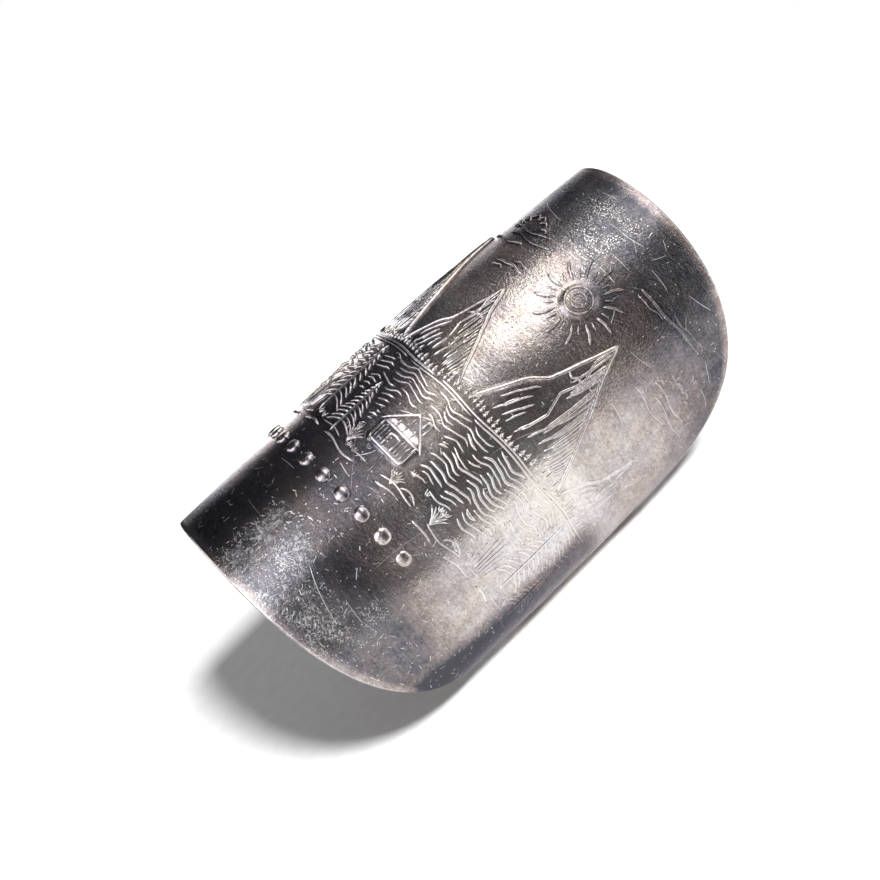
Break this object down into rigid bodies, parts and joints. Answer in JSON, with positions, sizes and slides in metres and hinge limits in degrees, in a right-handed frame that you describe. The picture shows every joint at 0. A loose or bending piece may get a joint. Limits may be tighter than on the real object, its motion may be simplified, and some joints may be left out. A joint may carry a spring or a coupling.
{
  "type": "spoon ring",
  "caption": "Wide finger ring made from an oval spoon bowl wrapped into an open band, with a raised landscape and a row of beads outside.",
  "frame": {"origin": "middle of the footprint, on the surface that the ring rests on", "axes": "+X along the ring's axis, towards the narrower rim; +Z from the gap at the back up to the wide front"},
  "size_m": [0.037, 0.0219, 0.0208],
  "materials": {
    "tarnished_silver": "polished and tarnished"
  },
  "bodies": {
    "root": {"spoon_ring": "tarnished_silver"}
  },
  "joints": []
}
